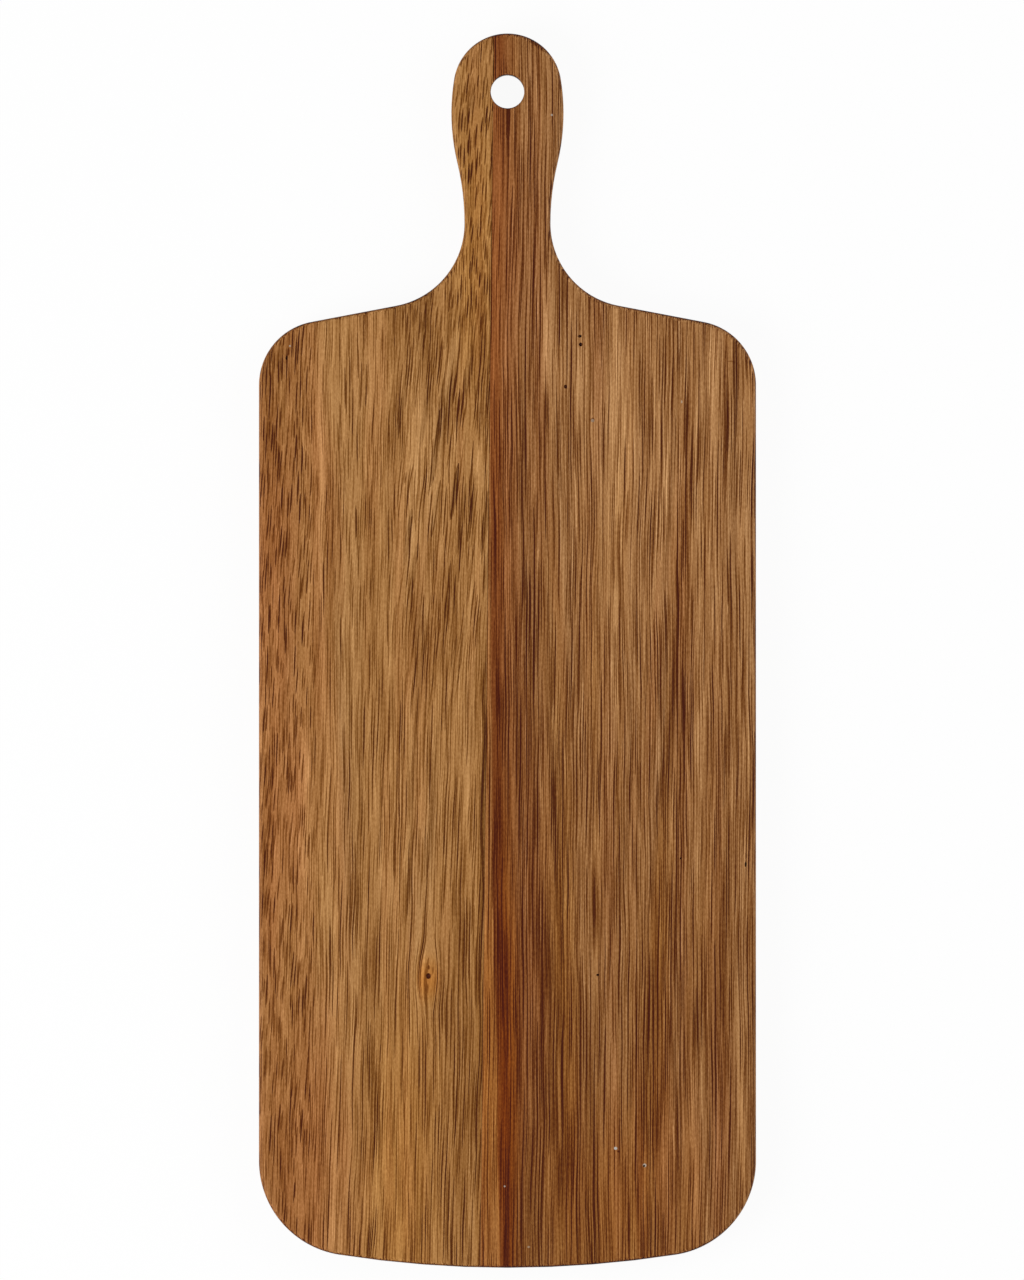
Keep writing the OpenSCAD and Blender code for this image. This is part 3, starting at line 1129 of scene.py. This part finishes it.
def glue_material(tones):
    """Cured glue, a little uneven where it soaked into the wood."""
    material = bare_material("Cured glue")
    tree = material.node_tree
    place = add_node(tree, "ShaderNodeTexCoord").outputs["Object"]
    noise = add_node(
        tree, "ShaderNodeTexNoise", {"Vector": place, "Scale": GLUE_MOTTLE, "Detail": GLUE_DETAIL}
    )
    soaked = [part * GLUE_SOAKED for part in tones.glue]
    shades = {0: noise.outputs[0], 6: (*soaked, 1), 7: (*tones.glue, 1)}
    shade = add_node(tree, "ShaderNodeMix", shades, data_type="RGBA").outputs[2]
    colour = add_node(tree, "ShaderNodeGamma", {0: shade, 1: DISPLAY_GAMMA}).outputs[0]
    shader = add_node(
        tree,
        "ShaderNodeBsdfPrincipled",
        {"Base Color": colour, "Roughness": GLUE_ROUGH, "Specular IOR Level": GLUE_GLOSS},
    )
    add_node(tree, "ShaderNodeOutputMaterial", {0: shader.outputs[0]})
    return material


class PADDLE_OT_left_stave(bpy.types.Operator):
    """Model the golden left stave"""

    bl_idname = "paddle.left_stave"
    bl_label = "Left Stave"

    def execute(self, context):
        sizes, tones = context.scene.paddle_sizes, context.scene.paddle_tones
        piece = model_stave("left_stave_board", sizes, -1, LEFT_PITS)
        piece.data.materials.append(left_wood(shared_groups(), tones, sizes.board_t / MM))
        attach(piece, "root")
        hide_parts("left_stave")
        return {"FINISHED"}


class PADDLE_OT_right_stave(bpy.types.Operator):
    """Model the brown right stave"""

    bl_idname = "paddle.right_stave"
    bl_label = "Right Stave"

    def execute(self, context):
        sizes, tones = context.scene.paddle_sizes, context.scene.paddle_tones
        piece = model_stave("right_stave_board", sizes, 1, RIGHT_PITS)
        piece.data.materials.append(right_wood(shared_groups(), tones, sizes.board_t / MM))
        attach(piece, "root")
        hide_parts("right_stave")
        return {"FINISHED"}


class PADDLE_OT_glue_line(bpy.types.Operator):
    """Finish the glue film between the staves"""

    bl_idname = "paddle.glue_line"
    bl_label = "Glue Line"

    def execute(self, context):
        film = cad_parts["glue_line"]
        film.data.materials.clear()
        film.data.materials.append(glue_material(context.scene.paddle_tones))
        return {"FINISHED"}


# The studio
CAMERA_X = 1.62 * MM
CAMERA_Y = 3.81 * MM
FRAME_H = 458.3 * MM
SENSOR = 36.0
FLOOR_SIZE = 6.0
FLOOR_GAP = 0.1 * MM
FLOOR_WHITE = 0.94
FLOOR_MATT = (0.95, 0.95, 0.95, 1)
WHITE = (1, 1, 1, 1)
CEILING = 0.2
CEILING_RISE = (0.4, 0.9)
KEY_PLACE = (-1.1, -0.385, 1.1)
FILL_PLACE = (1.1, 0.33, 1.1)
LAMP_SIZE = 1.2


def soft_lamp(name, place, power):
    """A large soft lamp that faces the board."""
    lamp = bpy.data.lights.new(name, "AREA")
    lamp.shape = "DISK"
    lamp.size = LAMP_SIZE
    lamp.energy = power
    holder = bpy.data.objects.new(name, lamp)
    bpy.context.scene.collection.objects.link(holder)
    holder.location = place
    holder.rotation_euler = (-Vector(place)).to_track_quat("-Z", "Y").to_euler()


class PADDLE_OT_stage(bpy.types.Operator):
    """Set the board on a white floor, with a camera straight above it"""

    bl_idname = "paddle.stage"
    bl_label = "Studio"

    def execute(self, context):
        scene = context.scene
        sizes, studio = scene.paddle_sizes, scene.paddle_studio
        bpy.ops.object.select_all(action="DESELECT")
        bpy.ops.mesh.primitive_plane_add(size=FLOOR_SIZE, location=(0, 0, -FLOOR_GAP))
        floor = context.object
        floor.name = "floor"
        floor.data.materials.append(self.floor_material())
        soft_lamp("key lamp", KEY_PLACE, studio.key)
        soft_lamp("fill lamp", FILL_PLACE, studio.fill)
        self.light_sky(scene, studio.sky)
        self.place_camera(scene, sizes, studio)
        scene.view_settings.view_transform = "Standard"
        return {"FINISHED"}

    def seen_rays(self, tree):
        """1 for the rays that show the background: to the camera, off gloss and through glass."""
        path = add_node(tree, "ShaderNodeLightPath").outputs
        shown = calc(tree, "MAXIMUM", path["Is Camera Ray"], path["Is Glossy Ray"])
        return calc(tree, "MAXIMUM", shown, path["Is Transmission Ray"])

    def floor_material(self):
        """A matt floor that shows white, with a little of the board's shadow."""
        material = bare_material("White floor")
        tree = material.node_tree
        matt = add_node(tree, "ShaderNodeBsdfDiffuse", {"Color": FLOOR_MATT}).outputs[0]
        white = add_node(tree, "ShaderNodeEmission", {"Color": WHITE, "Strength": 1.0}).outputs[0]
        share = calc(tree, "MULTIPLY", self.seen_rays(tree), FLOOR_WHITE)
        mixed = add_node(tree, "ShaderNodeMixShader", {0: share, 1: matt, 2: white})
        add_node(tree, "ShaderNodeOutputMaterial", {0: mixed.outputs[0]})
        return material

    def light_sky(self, scene, strength):
        """Even light from all round, weaker overhead, behind a background that shows white."""
        world = bpy.data.worlds.new("Soft sky")
        scene.world = world
        world.use_nodes = True
        tree = world.node_tree
        tree.nodes.clear()
        level = ramp(tree, self.seen_rays(tree), 0.0, 1.0, strength, 1.0)
        toward = add_node(tree, "ShaderNodeTexCoord").outputs["Generated"]
        height = add_node(tree, "ShaderNodeSeparateXYZ", {0: toward}).outputs[2]
        bright = ramp(tree, height, *CEILING_RISE, 1.0, CEILING)
        glow = calc(tree, "MULTIPLY", level, bright)
        sky = add_node(tree, "ShaderNodeBackground", {"Color": WHITE, "Strength": glow})
        add_node(tree, "ShaderNodeOutputWorld", {0: sky.outputs[0]})

    def place_camera(self, scene, sizes, studio):
        """A long lens straight above the board, so that its sides don't show."""
        camera = bpy.data.cameras.new("camera")
        camera.sensor_width = SENSOR
        camera.lens = studio.lens
        holder = bpy.data.objects.new("camera", camera)
        scene.collection.objects.link(holder)
        height = sizes.board_t + FRAME_H * studio.lens / SENSOR
        holder.location = (CAMERA_X, CAMERA_Y, height)
        scene.camera = holder


class PADDLE_PT_panel(bpy.types.Panel):
    """Lists the board's pieces, sizes and colours"""

    bl_idname = "PADDLE_PT_panel"
    bl_label = "Paddle Board"
    bl_space_type = "VIEW_3D"
    bl_region_type = "UI"
    bl_category = "Paddle Board"

    def draw(self, context):
        layout = self.layout
        for operator in OPERATORS:
            layout.operator(operator.bl_idname)
        for name in SETTINGS:
            settings = getattr(context.scene, name)
            box = layout.box()
            for key in settings.__annotations__:
                box.prop(settings, key)


OPERATORS = (PADDLE_OT_left_stave, PADDLE_OT_right_stave, PADDLE_OT_glue_line, PADDLE_OT_stage)
SETTINGS = {"paddle_sizes": PaddleSizes, "paddle_tones": WoodTones, "paddle_studio": StudioSettings}


def register():
    for group in (*SETTINGS.values(), *OPERATORS, PADDLE_PT_panel):
        bpy.utils.register_class(group)
    for name, group in SETTINGS.items():
        setattr(bpy.types.Scene, name, bpy.props.PointerProperty(type=group))


def unregister():
    for name in SETTINGS:
        delattr(bpy.types.Scene, name)
    for group in (PADDLE_PT_panel, *OPERATORS, *SETTINGS.values()):
        bpy.utils.unregister_class(group)


def main():
    register()
    bpy.ops.paddle.left_stave()
    bpy.ops.paddle.right_stave()
    bpy.ops.paddle.glue_line()
    bpy.ops.paddle.stage()


if __name__ == "__main__":
    main()
